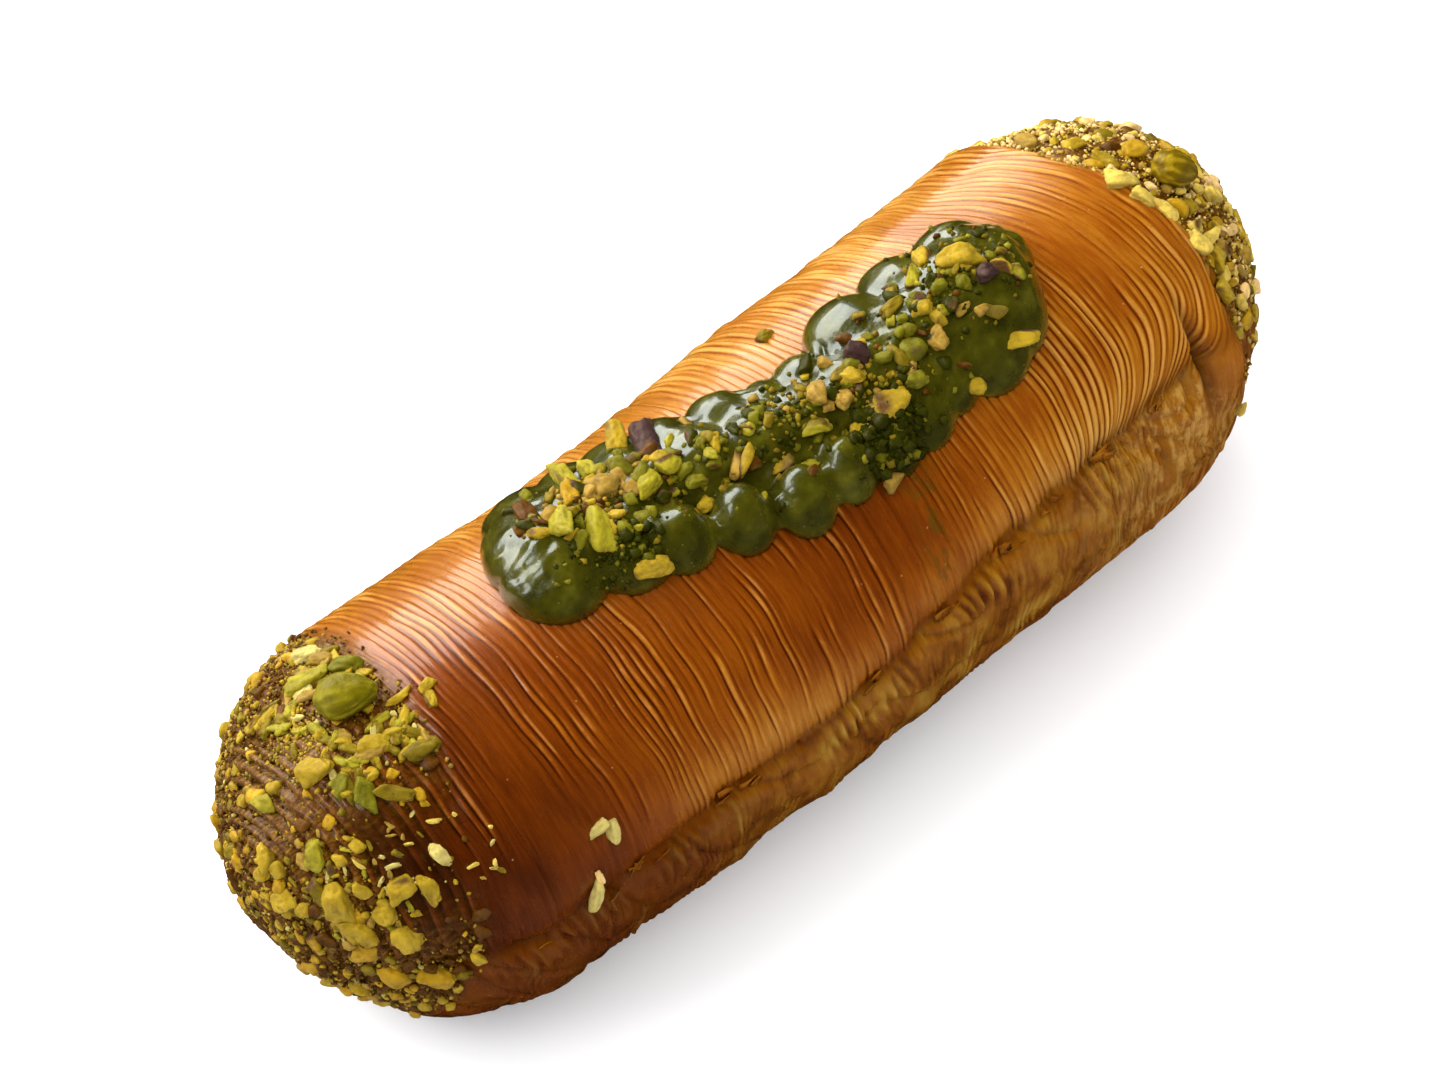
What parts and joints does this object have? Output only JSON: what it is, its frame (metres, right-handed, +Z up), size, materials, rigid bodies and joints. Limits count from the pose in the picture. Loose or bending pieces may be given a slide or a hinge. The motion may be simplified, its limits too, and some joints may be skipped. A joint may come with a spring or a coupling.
{
  "type": "pistachio danish",
  "caption": "Rolled log of laminated danish dough with nut-dipped round ends, a piped pistachio cream strip under chopped nuts, and a whole kernel at each end.",
  "frame": {"origin": "on the surface it rests on, under the middle of the whole danish", "axes": "+X along the log to the end that is far in the picture, +Z up, the grooved front side faces -Y"},
  "size_m": [0.1802, 0.0627, 0.0648],
  "materials": {
    "crust": "egg-washed baked dough, golden to deep brown, satin to glossy, with fine rings",
    "cream": "thick dark green pistachio cream, wet gloss",
    "kernel": "peeled pistachio kernel, yellow-green, satin"
  },
  "bodies": {
    "root": {"pastry": "crust", "cream": "cream", "kernel_near": "kernel", "kernel_far": "kernel"}
  },
  "joints": []
}
